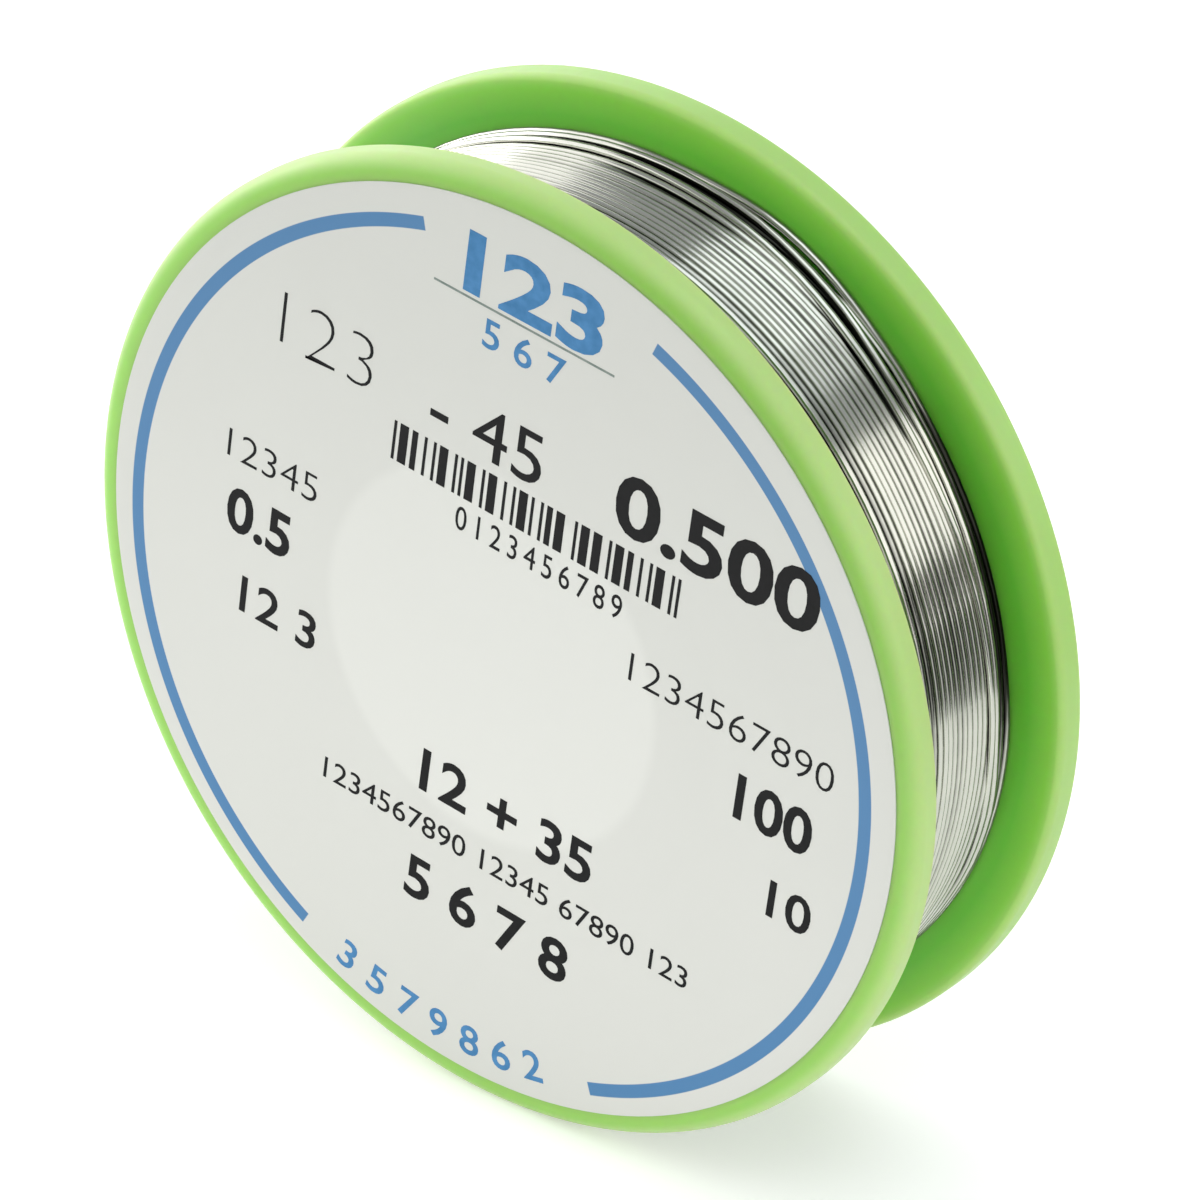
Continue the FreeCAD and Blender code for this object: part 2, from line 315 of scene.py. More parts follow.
# Colours as they show on a screen. A pair is what a surface wavers between.
GREEN_OUTSIDE = (150, 207, 89), (156, 211, 94)
# Painted shade by the wire and painted light by the rim, on the flanges' faces towards the wire.
GREEN_SHADED_BY_THE_WIRE = (76, 217, 30)
GREEN_LIT_BY_THE_RIM = (176, 238, 82)
# Painted light on the thin rims.
GREEN_LIT_RIM = (193, 222, 143)
# A painted dull reflection, which only shiny surfaces see.
GREEN_PAINTED_REFLECTION = (104, 112, 84)
TIN = (221, 220, 213), (206, 206, 200)
# Painted shade between the turns.
TIN_SHADE_BETWEEN_TURNS = (46, 46, 42)
PAPER = (215, 215, 210), (219, 219, 214)
# Painted light over the open bore.
PAPER_LIT_OVER_BORE = (224, 224, 219)
PRINT_BLUE = (66, 124, 174)
BLUE_INK = PRINT_BLUE, (84, 142, 194)
BLACK_INK = (5, 5, 6), (24, 23, 25)
GREY_INK = (120, 134, 128), (146, 156, 150)
PALE_GROUND = (244, 244, 244), (248, 248, 248)

# How rough each surface is, where it wavers from the one to the other.
PLASTIC_ROUGHNESS = (0.36, 0.44)
WIRE_ROUGHNESS = (0.11, 0.19)
PAPER_ROUGHNESS = (0.43, 0.47)
INK_ROUGHNESS = (0.4, 0.55)

# Where the painted shade of the flanges' inner faces goes over to painted light at the rim, as radii, the
# width of the painted light on the rims, and the soft edge of those faces.
RIM_LIGHT_FADE = (29.0 * MM, 31.2 * MM)
LIT_RIM_WIDTH = 1.0 * MM
FACE_EDGE = 0.25 * MM
# How much of the rims' painted light the rear rim keeps.
REAR_RIM_LIGHT_STRENGTH = 0.7
# How strongly shiny surfaces see that painted dull reflection.
PAINTED_REFLECTION_STRENGTH = 0.7
# Depths below the winding's surface over which the wire's painted shade between the turns goes over from dark
# to none.
FULL_SHADE_DEPTH = 0.24 * MM
NO_SHADE_DEPTH = 0.04 * MM
# Soft edges of the painted light over the bore, of the printed ring, and of its gaps in turns.
BORE_EDGE = 0.5 * MM
RING_EDGE = 0.03 * MM
RING_GAP_EDGE = 0.0002
# Extra light that a ray from the camera or from a shiny surface sees on the floor.
GROUND_LIGHT = 0.34


def make_green_plastic():
    """Light green, slightly translucent moulded plastic, with painted light on its thin rims.

    The faces towards the wire have painted shade by the wire and painted light by the rim, and other pieces
    mirror the plastic as a painted, duller reflection.
    """
    material, tree, shader = new_material("green_moulded_plastic")
    place = place_group(tree, spool_place)
    patches = add_patches(tree, 9 * MM, 2.0, 0.8)
    # Painted shade by the wire going over to painted light by the rim, on the faces towards the wire.
    painted_light_towards_rim = ramp(tree, place["Radius"], *RIM_LIGHT_FADE, smooth=False)
    outside = mix_shades(tree, patches, *GREEN_OUTSIDE)
    inside = mix_shades(tree, painted_light_towards_rim, GREEN_SHADED_BY_THE_WIRE, GREEN_LIT_BY_THE_RIM)
    between = band(tree, place["Depth"], GAP_FRONT, GAP_REAR, FACE_EDGE)
    shade = mix_colours(tree, between, outside, inside)
    # Painted light on the thin rims, weaker at the rear rim.
    edge = ramp(tree, place["Radius"], FLANGE_RADIUS - LIT_RIM_WIDTH, FLANGE_RADIUS)
    rim_light_fade = ramp(tree, place["Depth"], GAP_FRONT, GAP_REAR, 1.0, REAR_RIM_LIGHT_STRENGTH)
    shade = mix_colours(tree, maths(tree, "MULTIPLY", edge, rim_light_fade), shade, colour(*GREEN_LIT_RIM))
    # Shiny surfaces see a painted dull reflection of the plastic.
    painted_reflection_share = maths(tree, "MULTIPLY", add_node(tree, "LightPath").outputs["Is Glossy Ray"], PAINTED_REFLECTION_STRENGTH)
    shade = mix_colours(tree, painted_reflection_share, shade, colour(*GREEN_PAINTED_REFLECTION))
    specks = add_patches(tree, 0.6 * MM, 1.0, 2.0)
    feed(
        tree, shader, Base_Color=shade, Roughness=waver(tree, specks, *PLASTIC_ROUGHNESS),
        Normal=add_skin(tree, grain_size=0.4 * MM, grain_height=0.0025 * MM, mark_height=0.0015 * MM),
        Subsurface_Weight=0.8, Subsurface_Radius=(0.55, 1.0, 0.25), Subsurface_Scale=2.2 * MM,
        Specular_IOR_Level=0.5,
    )
    return material


def make_solder():
    """Bright drawn tin wire: drawing marks along it, faint dull patches, and painted shade between the turns.
    """
    material, tree, shader = new_material("bright_solder_wire")
    place = place_group(tree, spool_place)
    dull = add_patches(tree, 3.5 * MM, 3.0, 1.6)
    # Painted shade between the turns, darker the deeper the wire lies below the winding's surface.
    painted_gap_shade = ramp(tree, place["Radius"], WINDING_RADIUS - FULL_SHADE_DEPTH, WINDING_RADIUS - NO_SHADE_DEPTH, 1.0, 0.0)
    tint = mix_colours(tree, painted_gap_shade, mix_shades(tree, dull, *TIN), colour(*TIN_SHADE_BETWEEN_TURNS))
    skin = add_skin(
        tree, grain_size=0.12 * MM, grain_height=0.0003 * MM, mark_height=0.0005 * MM, marks_per_metre=9000.0,
    )
    feed(
        tree, shader, Base_Color=tint, Normal=skin, Metallic=1.0,
        Roughness=waver(tree, dull, *WIRE_ROUGHNESS),
    )
    return material


def make_label_paper():
    """Coated white label paper with a blue ring printed in two arcs, and painted light over the open bore."""
    material, tree, shader = new_material("coated_label_paper")
    place = place_group(tree, spool_place)
    patches = add_patches(tree, 12 * MM, 2.0, 0.8)
    # Painted light where the paper spans the open bore.
    over_bore = ramp(tree, place["Radius"], BORE_RADIUS - BORE_EDGE, BORE_RADIUS + BORE_EDGE, 1.0, 0.0)
    paper = mix_colours(tree, over_bore, mix_shades(tree, patches, *PAPER), colour(*PAPER_LIT_OVER_BORE))
    ring_place = place_group(tree, spool_place, shift_x=RING_SHIFT[0], shift_z=RING_SHIFT[1])
    ring = band(tree, ring_place["Radius"], RING_INSIDE, RING_OUTSIDE, RING_EDGE)
    gaps = [
        band(tree, ring_place["Turn"], start / 360, end / 360, RING_GAP_EDGE)
        for start, end in (RING_TOP_GAP, RING_BOTTOM_GAP)
    ]
    ink = maths(tree, "MULTIPLY", ring, maths(tree, "SUBTRACT", 1.0, maths(tree, "ADD", *gaps)))
    feed(
        tree, shader, Base_Color=mix_colours(tree, ink, paper, colour(*PRINT_BLUE)),
        Normal=add_skin(tree, grain_size=0.5 * MM, grain_height=0.0015 * MM, mark_height=0.0),
        Roughness=waver(tree, patches, *PAPER_ROUGHNESS),
    )
    return material


def make_ink(name, dense, thin):
    """Printed ink, a little uneven, from dense to thin places."""
    material, tree, shader = new_material(name)
    patches = add_patches(tree, 0.7 * MM, 2.0, 2.2)
    feed(
        tree, shader, Base_Color=mix_shades(tree, patches, dense, thin),
        Normal=add_skin(tree, grain_size=0.3 * MM, grain_height=0.001 * MM, mark_height=0.0),
        Roughness=waver(tree, patches, *INK_ROUGHNESS), Specular_IOR_Level=0.12,
    )
    return material


def make_floor_material():
    """Plain pale ground with a trace of unevenness, which shows white."""
    material, tree, shader = new_material("pale_ground")
    rays = add_node(tree, "LightPath").outputs
    seen = maths(tree, "MAXIMUM", rays["Is Camera Ray"], rays["Is Glossy Ray"])
    seen = maths(tree, "MAXIMUM", seen, rays["Is Transmission Ray"])
    feed(
        tree, shader, Base_Color=mix_shades(tree, add_patches(tree, 0.15, 2.0, 0.6), *PALE_GROUND),
        Roughness=0.8, Specular_IOR_Level=0.1, Emission_Color=(1, 1, 1, 1),
        Emission_Strength=maths(tree, "MULTIPLY", seen, GROUND_LIGHT),
    )
    return material


green_plastic = make_green_plastic()
solder = make_solder()
label_paper = make_label_paper()
black_ink = make_ink("black_print", *BLACK_INK)
blue_ink = make_ink("blue_print", *BLUE_INK)
grey_ink = make_ink("grey_print", *GREY_INK)


# ---- mesh helpers ----

def rounded_outline(corners):
    """A closed outline of (radius, depth, rounding) corners, with an arc in place of each rounded one."""
    points = []
    for i, (radius, depth, rounding) in enumerate(corners):
        here = Vector((radius, depth))
        if rounding == 0:
            points.append(here)
            continue
        before = (Vector(corners[i - 1][:2]) - here).normalized()
        after = (Vector(corners[(i + 1) % len(corners)][:2]) - here).normalized()
        half = before.angle(after) / 2
        centre = here + (before + after).normalized() * (rounding / math.sin(half))
        first = here + before * (rounding / math.tan(half)) - centre
        last = here + after * (rounding / math.tan(half)) - centre
        sweep = first.angle(last)
        for step in range(CORNER_STEPS + 1):
            share = step / CORNER_STEPS
            spoke = first * math.sin((1 - share) * sweep) + last * math.sin(share * sweep)
            points.append(centre + spoke / math.sin(sweep))
    return points


def on_spool(radius, turn, depth):
    """The point at a radius from the axis, an angle in turns from +X towards +Z, and a depth."""
    angle = 2 * math.pi * turn
    return Vector((radius * math.cos(angle), depth, AXIS_HEIGHT + radius * math.sin(angle)))


def bridge(mesh, ring, following):
    """Adds the faces between two closed rings of points."""
    for i in range(len(ring)):
        j = (i + 1) % len(ring)
        mesh.faces.new((ring[i], ring[j], following[j], following[i]))


def lathe(mesh, outline, steps=LATHE_STEPS):
    """Adds a closed outline, turned round the axis, to a bmesh."""
    rings = [[mesh.verts.new(on_spool(p.x, step / steps, p.y)) for p in outline] for step in range(steps)]
    for ring, following in zip(rings, rings[1:] + rings[:1]):
        bridge(mesh, ring, following)


def join(mesh, part):
    """Adds one bmesh to another and frees it."""
    data = bpy.data.meshes.new("part")
    part.to_mesh(data)
    part.free()
    mesh.from_mesh(data)
    bpy.data.meshes.remove(data)


def add_object(name, mesh, material):
    """Makes a bmesh into an object of the scene and frees it."""
    data = bpy.data.meshes.new(name)
    mesh.to_mesh(data)
    mesh.free()
    data.materials.append(material)
    added = bpy.data.objects.new(name, data)
    bpy.context.scene.collection.objects.link(added)
    return added


def finish_piece(name, mesh, material, nodes=(), sharp=35):
    """Makes a bmesh into a piece that rides on the spool's one body.

    Edges that turn by more than the sharp angle, in degrees, stay sharp.
    """
    bmesh.ops.recalc_face_normals(mesh, faces=mesh.faces)
    piece = add_object(name, mesh, material)
    piece.data.shade_smooth()
    piece.data.set_sharp_from_angle(angle=math.radians(sharp))
    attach(piece, "root")
    if nodes:
        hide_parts(*nodes)


# ---- the moulded spool ----

def front_rim_corners():
    """The front flange's flat face runs over into its rim in a quarter of an oval."""
    corners = []
    for step in range(RIM_STEPS + 1):
        angle = math.pi / 2 * step / RIM_STEPS
        radius = FLANGE_RADIUS - RIM_ACROSS * (1 - math.sin(angle))
        corners.append((radius, FRONT_FACE + RIM_ALONG * (1 - math.cos(angle)), 0))
    return corners


def make_front_flange():
    """The front flange, a disc with the hole that sits on the hub's end."""
    mesh = bmesh.new()
    lathe(mesh, rounded_outline([
        (HOLE_RADIUS, FRONT_FACE, SEAM_ROUND),
        *front_rim_corners(),
        (FLANGE_RADIUS, GAP_FRONT, FRONT_INNER_ROUND),
        (HOLE_RADIUS, GAP_FRONT, SEAM_ROUND),
    ]))
    finish_piece("front_flange_moulding", mesh, green_plastic, ["front_flange"])


def add_rib(mesh, turn):
    """One rib from the bore tube to the drum, reaching half a wall into each."""
    near = BORE_RADIUS + WALL / 2
    far = BARREL_RADIUS - WALL / 2
    neck = SPIGOT_RADIUS - WALL / 2
    foot = FRONT_FACE + WALL / 2
    step = GAP_FRONT + WALL / 2
    end = REAR_FACE - RIB_SETBACK
    rib = bmesh.new()
    outline = [(near, foot), (neck, foot), (neck, step), (far, step), (far, end), (near, end)]
    face = rib.faces.new([rib.verts.new((across, along, -RIB_THICKNESS / 2)) for across, along in outline])
    grown = bmesh.ops.extrude_face_region(rib, geom=[face])["geom"]
    top = [part for part in grown if isinstance(part, bmesh.types.BMVert)]
    bmesh.ops.translate(rib, vec=(0, 0, RIB_THICKNESS), verts=top)

    def runs_along_the_end(edge):
        first, last = (vert.co for vert in edge.verts)
        return max(abs(first.y - end), abs(last.y - end)) < SAME and abs(first.x - last.x) > RIB_ROUND

    back_edges = [edge for edge in rib.edges if runs_along_the_end(edge)]
    bmesh.ops.bevel(rib, geom=back_edges, offset=RIB_ROUND, segments=4, affect="EDGES", profile=0.5)
    turned = Matrix.Translation((0, 0, AXIS_HEIGHT)) @ Matrix.Rotation(-2 * math.pi * turn, 4, "Y")
    bmesh.ops.transform(rib, matrix=turned, verts=rib.verts)
    join(mesh, rib)


def make_rear_flange_hub():
    """The rear flange with the drum and the bore tube, open at the rear, and the ribs between them."""
    pocket_near = BORE_RADIUS + WALL
    pocket_far = BARREL_RADIUS - WALL
    pocket_neck = SPIGOT_RADIUS - WALL
    pocket_step = GAP_FRONT + WALL
    pocket_floor = FRONT_FACE + WALL
    mesh = bmesh.new()
    lathe(mesh, rounded_outline([
        (BORE_RADIUS, FRONT_FACE, BORE_FRONT_ROUND),
        (SPIGOT_RADIUS, FRONT_FACE, STEP_ROUND),
        (SPIGOT_RADIUS, GAP_FRONT, SEAM_ROUND),
        (BARREL_RADIUS, GAP_FRONT, STEP_ROUND),
        (BARREL_RADIUS, GAP_REAR, POCKET_ROUND),
        (FLANGE_RADIUS, GAP_REAR, REAR_INNER_ROUND),
        (FLANGE_RADIUS, REAR_FACE, REAR_RIM_ROUND),
        (pocket_far, REAR_FACE, MOUTH_ROUND),
        (pocket_far, pocket_step, POCKET_ROUND),
        (pocket_neck, pocket_step, POCKET_ROUND),
        (pocket_neck, pocket_floor, POCKET_ROUND),
        (pocket_near, pocket_floor, POCKET_ROUND),
        (pocket_near, REAR_FACE, POCKET_ROUND),
        (BORE_RADIUS, REAR_FACE, MOUTH_ROUND),
    ]))
    for number in range(RIB_COUNT):
        add_rib(mesh, number / RIB_COUNT)
    finish_piece("rear_flange_hub_moulding", mesh, green_plastic, ["rear_flange_hub"])


# ---- the label ----

LABEL_SAG = 0.10 * MM
BACK_SAG = 0.07 * MM
CREASE_DEPTH = 0.012 * MM
CREASE_WIDTH = 0.35 * MM
LABEL_EDGE_WIDTH = 0.15 * MM
LABEL_EDGE_DROP = 0.03 * MM


def face_depth(radius):
    """The label's face: it sags a little into the open bore and shows the edge of the hole it covers."""
    over_bore = max(0.0, 1 - (radius / BORE_RADIUS) ** 2)
    crease = math.exp(-((radius - HOLE_RADIUS) / CREASE_WIDTH) ** 2)
    edge = max(0.0, (radius - LABEL_RADIUS + LABEL_EDGE_WIDTH) / LABEL_EDGE_WIDTH)
    return LABEL_FACE + LABEL_SAG * over_bore ** 1.5 + CREASE_DEPTH * crease + LABEL_EDGE_DROP * edge ** 2


def make_label():
    """The paper disc. Its back spans the open bore, so it shows from the rear too."""
    mesh = bmesh.new()

    def ring(radius, depth):
        share = radius / LABEL_RADIUS
        shift = Vector((LABEL_SHIFT[0] * share, 0, LABEL_SHIFT[1] * share))
        spots = [on_spool(radius, step / LABEL_STEPS, depth) + shift for step in range(LABEL_STEPS)]
        return [mesh.verts.new(spot) for spot in spots]

    front = mesh.verts.new(on_spool(0, 0, face_depth(0)))
    radii = [LABEL_RADIUS * step / LABEL_RINGS for step in range(1, LABEL_RINGS + 1)]
    chain = [ring(radius, face_depth(radius)) for radius in radii]
    chain += [
        ring(LABEL_RADIUS, FRONT_FACE), ring(BORE_RADIUS, FRONT_FACE),
        ring(BORE_RADIUS / 2, FRONT_FACE + BACK_SAG),
    ]
    back = mesh.verts.new(on_spool(0, 0, FRONT_FACE + LABEL_SAG))
    for inner, outer in zip(chain, chain[1:]):
        bridge(mesh, inner, outer)
    for step in range(LABEL_STEPS):
        after = (step + 1) % LABEL_STEPS
        mesh.faces.new((front, chain[0][step], chain[0][after]))
        mesh.faces.new((chain[-1][step], back, chain[-1][after]))
    finish_piece("front_label_paper", mesh, label_paper, ["front_label"])


# The print is laid out in millimetres from the label's middle, to the right and up, and turned a little.
PRINT_TURN = -8.4
INK_PROUD = 0.012 * MM
INK_SUNK = 0.008 * MM

# The bars and the rule, as (left, right, low, high). A bar's ink fills a share of its width.
BARS = (-9.0, 13.2, 9.7, 12.4)
BAR_UNIT = 0.235
BAR_SHARE = 0.92
RULE = (-7.4, 6.2, 23.05, 23.2)
BAR_PIECE = 1.5

# The built-in font, in shares of its size: a figure's height, the thickness that tells its front from
# its back, and how close points are joined.
FIGURE_SHARE = 0.72
FIGURE_DEPTH = 0.1
FIGURE_MERGE = 1e-5

# Plain figures, each row as add_figures takes it: the figures, their middle across and up, their height,
# stretch and weight, and for some their spread and the radius of the ring that they stand on.
BLACK_FIGURES = [
    ("0123456789", 2.6, 8.3, 1.7, 0.8, 0.0, 1.4),
    ("0.5", -18.2, 0.3, 3.1, 1.0, 0.022),
    ("100", 21.2, 0.4, 3.1, 1.0, 0.022),
    ("12 3", -16.3, -5.3, 2.6, 1.1, 0.01),
    ("10", 23.3, -5.2, 2.6, 1.1, 0.014),
    ("12345", -17.9, 4.7, 2.1, 1.1, -0.014),
    ("1234567890", 17.4, 4.9, 2.1, 1.1, -0.014),
    ("123", -15.0, 15.2, 4.0, 1.1, -0.03),
    ("- 45", -2.2, 15.0, 3.7, 1.1, 0.0),
    ("0.500", 15.0, 15.5, 4.1, 1.2, 0.022),
    ("12 + 35", 2.4, -10.2, 3.0, 1.1, 0.018),
    ("5 6 7 8", 2.2, -18.1, 3.0, 1.1, 0.018),
    ("1234567890 12345 67890 123", 2.9, -14.1, 1.55, 1.1, 0.0),
]
BLUE_FIGURES = [
    ("123", -0.6, 25.6, 4.0, 1.45, 0.03),
    ("5 6 7", -0.4, 21.5, 2.0, 1.1, 0.008),
    ("3 5 7 9 8 6 2", -0.3, -27.6, 2.1, 1.1, 0.012, 1.0, 27.6),
]


def on_label(across, up, proud):
    """A point of the print, a little proud of the paper or sunk into it."""
    turned = Vector((across * MM, up * MM)).to_3d()
    turned.rotate(Matrix.Rotation(math.radians(PRINT_TURN), 3, "Z"))
    depth = face_depth(math.hypot(turned.x, turned.y)) - (INK_PROUD if proud else -INK_SUNK)
    return Vector((turned.x, depth, AXIS_HEIGHT + turned.y))


def add_bar(mesh, left, right, low, high):
    """A printed bar, as a very thin block that follows the paper."""
    steps = max(1, math.ceil(max(right - left, high - low) / BAR_PIECE))
    rows = []
    for step in range(steps + 1):
        share = step / steps
        if high - low > right - left:
            reached = low + (high - low) * share
            first, last = (left, reached), (right, reached)
        else:
            reached = left + (right - left) * share
            first, last = (reached, high), (reached, low)
        section = ((first, True), (last, True), (last, False), (first, False))
        rows.append([mesh.verts.new(on_label(*spot, proud)) for spot, proud in section])
    for row, following in zip(rows, rows[1:]):
        bridge(mesh, row, following)
    mesh.faces.new(rows[0])
    mesh.faces.new(rows[-1])


def add_bars(mesh, left, right, low, high):
    """A row of bars whose widths follow from a plain formula and stand for nothing."""
    place, number = left, 0
    while place < right - BAR_UNIT:
        width = BAR_UNIT * (1 + (number * number + 3 * number) % 7 // 2 * (number % 3 > 0))
        width = min(width, right - place)
        add_bar(mesh, place, place + width * BAR_SHARE, low, high)
        place += width + BAR_UNIT * (1 + (5 * number + number // 3) % 4 // 2 + (number % 7 == 3))
        number += 1


def add_figures(mesh, figures, across, up, height, stretch, weight, spread=1.0, arc=0.0):
    """Plain figures, centred at a place. An arc gives the radius of a ring that the figures stand on."""
    curve = bpy.data.curves.new("figures", "FONT")
    curve.body = figures
    curve.align_x = "CENTER"
    curve.resolution_u = 4
    curve.offset = weight
    curve.space_character = spread
    curve.extrude = FIGURE_DEPTH
    carrier = bpy.data.objects.new("figures", curve)
    bpy.context.scene.collection.objects.link(carrier)
    flat = bpy.data.meshes.new_from_object(carrier.evaluated_get(bpy.context.evaluated_depsgraph_get()))
    bpy.data.objects.remove(carrier)
    bpy.data.curves.remove(curve)
    part = bmesh.new()
    part.from_mesh(flat)
    bpy.data.meshes.remove(flat)
    bmesh.ops.remove_doubles(part, verts=part.verts, dist=FIGURE_MERGE)
    size = height / FIGURE_SHARE
    for vert in part.verts:
        x, y = vert.co.x * size * stretch, vert.co.y * size - height / 2
        if arc:
            angle = x / arc
            x, y = (arc - y) * math.sin(angle), arc - (arc - y) * math.cos(angle)
        vert.co = on_label(across + x, up + y, vert.co.z > 0)
    join(mesh, part)


def make_print():
    """The label's print in its three colours, each a piece of its own."""
    black, blue, grey = bmesh.new(), bmesh.new(), bmesh.new()
    add_bars(black, *BARS)
    for row in BLACK_FIGURES:
        add_figures(black, *row)
    for row in BLUE_FIGURES:
        add_figures(blue, *row)
    add_bar(grey, *RULE)
    finish_piece("label_black_print", black, black_ink)
    finish_piece("label_blue_print", blue, blue_ink)
    finish_piece("label_grey_print", grey, grey_ink)


# ---- the wire ----

# Each loop starts and ends at this angle from the camera's right, on the side that the camera can't see.
HIDDEN_SIDE = 180
# The camera's right, in degrees from +X towards +Z.
PLACE_ANGLE = 19.6

# Single loops of the wire, each a row from the hidden side round to it again. A row holds
# (angle, place, lift) of the wire's centre line: in degrees from the camera's right, clockwise from the
# front, in millimetres behind the label's face, and in millimetres above the layer's own radius.
FIRST_LOOP = [
    (-180, 5.1, 0.43), (-120, 5.6, 0.43), (-60, 5.82, 0.43), (0, 5.8, 0.43), (50, 5.75, 0.43),
    (90, 5.3, 0.43), (150, 3.3, 0.4), (180, 2.82, 0),
]
LOOSE_LOOPS = [
    [
        (-180, 11.37, 0), (-90, 11.5, 0), (-74, 11.52, 0), (-67, 11.54, -0.16), (-57, 11.48, -0.16),
        (-50, 11.45, 0), (-36, 11.47, 0), (-29, 11.5, -0.15), (-23, 11.5, -0.17), (-18, 11.45, -0.05),
        (-10, 11.5, 0), (10, 11.62, 0), (30, 11.65, 0), (50, 11.8, 0), (90, 11.75, 0), (180, 11.9, 0),
    ], [
        (-180, 11.9, 0), (-90, 12.0, 0), (-70, 12.02, 0.03), (-43, 11.98, 0.03), (-35, 12.02, -0.1),
        (-28, 12.15, -0.15), (-20, 12.4, -0.05), (-12, 12.46, 0), (0, 12.35, 0), (20, 12.2, 0),
        (31, 12.2, 0), (40, 12.3, 0), (50, 12.35, 0), (90, 12.3, 0), (180, 12.4, 0),
    ], [
        (-180, 12.4, 0), (-110, 12.55, 0.15), (-76, 12.58, 0.3), (-62, 12.5, 0.3), (-50, 12.4, 0.32),
        (-42, 12.22, 0.33), (-36, 12.02, 0.35), (-30, 11.86, 0.35), (-22, 11.75, 0.34),
        (-14, 11.76, 0.3), (-4, 11.9, 0.28), (8, 12.05, 0.25), (20, 12.15, 0.25), (27, 12.3, 0.22),
        (32, 12.65, 0.15), (37, 12.95, 0.05), (43, 13.15, 0), (50, 13.0, 0), (90, 12.85, 0),
        (180, 12.95, 0),
    ], [
        (-180, 12.95, 0), (-110, 13.6, 0.1), (-80, 13.68, 0.2), (-62, 13.74, 0.2), (-52, 13.74, 0.2),
        (-46, 13.56, 0.2), (-40, 13.34, 0.22), (-35, 13.14, 0.25), (-30, 12.84, 0.27),
        (-26, 12.7, 0.28), (-16, 12.62, 0.3), (0, 12.5, 0.3), (14, 12.4, 0.32), (22, 12.42, 0.32),
        (27, 12.75, 0.28), (32, 13.15, 0.2), (37, 13.45, 0.1), (43, 13.65, 0.05), (50, 13.55, 0),
        (90, 13.4, 0), (180, 13.5, 0),
    ], [
        (-180, 13.5, 0), (-120, 13.6, -0.1), (-90, 13.34, -0.28), (-60, 13.42, -0.22),
        (-48, 13.52, -0.22), (-42, 13.7, -0.25), (-37, 13.72, -0.02), (-32, 13.62, 0),
        (-26, 13.58, 0), (-20, 13.5, -0.15), (14, 13.45, -0.2), (24, 13.5, -0.12), (34, 13.85, -0.1),
        (43, 14.0, -0.15), (60, 13.9, -0.05), (90, 13.8, 0), (180, 13.8, 0),
    ], [
        (-180, 13.8, 0), (-120, 14.0, 0.1), (-90, 14.03, 0.25), (-74, 14.03, 0.28), (-64, 14.03, 0.27),
        (-58, 14.03, 0.4), (-52, 14.03, 0.62), (-47, 14.03, 0.66), (-42, 14.03, 0.55),
        (-38, 14.03, 0.38), (-32, 14.03, 0.12), (-24, 14.0, -0.08), (-16, 13.98, -0.2),
        (14, 13.98, -0.2), (24, 14.0, -0.05), (50, 14.03, 0), (180, 14.03, 0),
    ],
]

# The turns between them lie side by side. Their first place and their pitch are in millimetres.
TIGHT_TURNS = 18
FIRST_PLACE = 2.82
TURN_PITCH = 0.475
# The turns that have sunk between their neighbours, with their lift in millimetres, and the parts of
# a turn over which the wire goes down and comes up again.
SUNK_TURNS = {6: -0.2, 7: -0.4, 8: -0.06}
SINK_START = (-0.05, 0.15)
SINK_END = (0.75, 1.0)
# Small wavers of the tight turns, as waves of (height in millimetres, rate in radians a turn, start).
PLACE_WAVES = [(0.02, 1.885, 0.5), (0.012, 9.7, 0.0)]
LIFT_WAVES = [(0.022, 7.3, 0.0), (0.016, 13.7, 1.0)]
# The wire's two ends dip to the layer below.
DIP_DEPTH = 0.55 * MM
DIP_LENGTH = 4 * MM
# The layer below: how much lower it lies, because its turns nest with the outer ones, and its turns.
LAYER_STEP = 0.433 * MM
INNER_TURNS = 24


def smooth_between(rows, angle):
    """Place and lift at an angle, from rows of (angle, place, lift), with a smooth curve through them."""
    for i in range(len(rows) - 1):
        if angle <= rows[i + 1][0]:
            break
    before, start, end, after = rows[max(i - 1, 0)], rows[i], rows[i + 1], rows[min(i + 2, len(rows) - 1)]
    span = end[0] - start[0]
    share = (angle - start[0]) / span
    square, cube = share ** 2, share ** 3
    found = []
    for column in (1, 2):
        slope_in = (end[column] - before[column]) / (end[0] - before[0]) * span
        slope_out = (after[column] - start[column]) / (after[0] - start[0]) * span
        found.append(
            (2 * cube - 3 * square + 1) * start[column] + (cube - 2 * square + share) * slope_in
            + (3 * square - 2 * cube) * end[column] + (cube - square) * slope_out
        )
    return found


def smooth_step(value, start, end):
    """0 up to the start and 1 from the end, with a smooth rise between them."""
    share = min(1.0, max(0.0, (value - start) / (end - start)))
    return share * share * (3 - 2 * share)


def add_waves(waves, turns):
    """The sum of a few waves, a number of turns along the wire."""
    return sum(height * math.sin(rate * turns + start) for height, rate, start in waves)


def tight_place_and_lift(turns):
    """Place and lift of the wire, a number of turns after the first loop."""
    shift = add_waves(PLACE_WAVES, turns) * min(1, turns, TIGHT_TURNS - turns)
    lift = add_waves(LIFT_WAVES, turns)
    for turn, depth in SUNK_TURNS.items():
        down = smooth_step(turns, turn + SINK_START[0], turn + SINK_START[1])
        up = smooth_step(turns, turn + SINK_END[0], turn + SINK_END[1])
        lift += depth * (down - up)
    return FIRST_PLACE + TURN_PITCH * turns + shift, lift


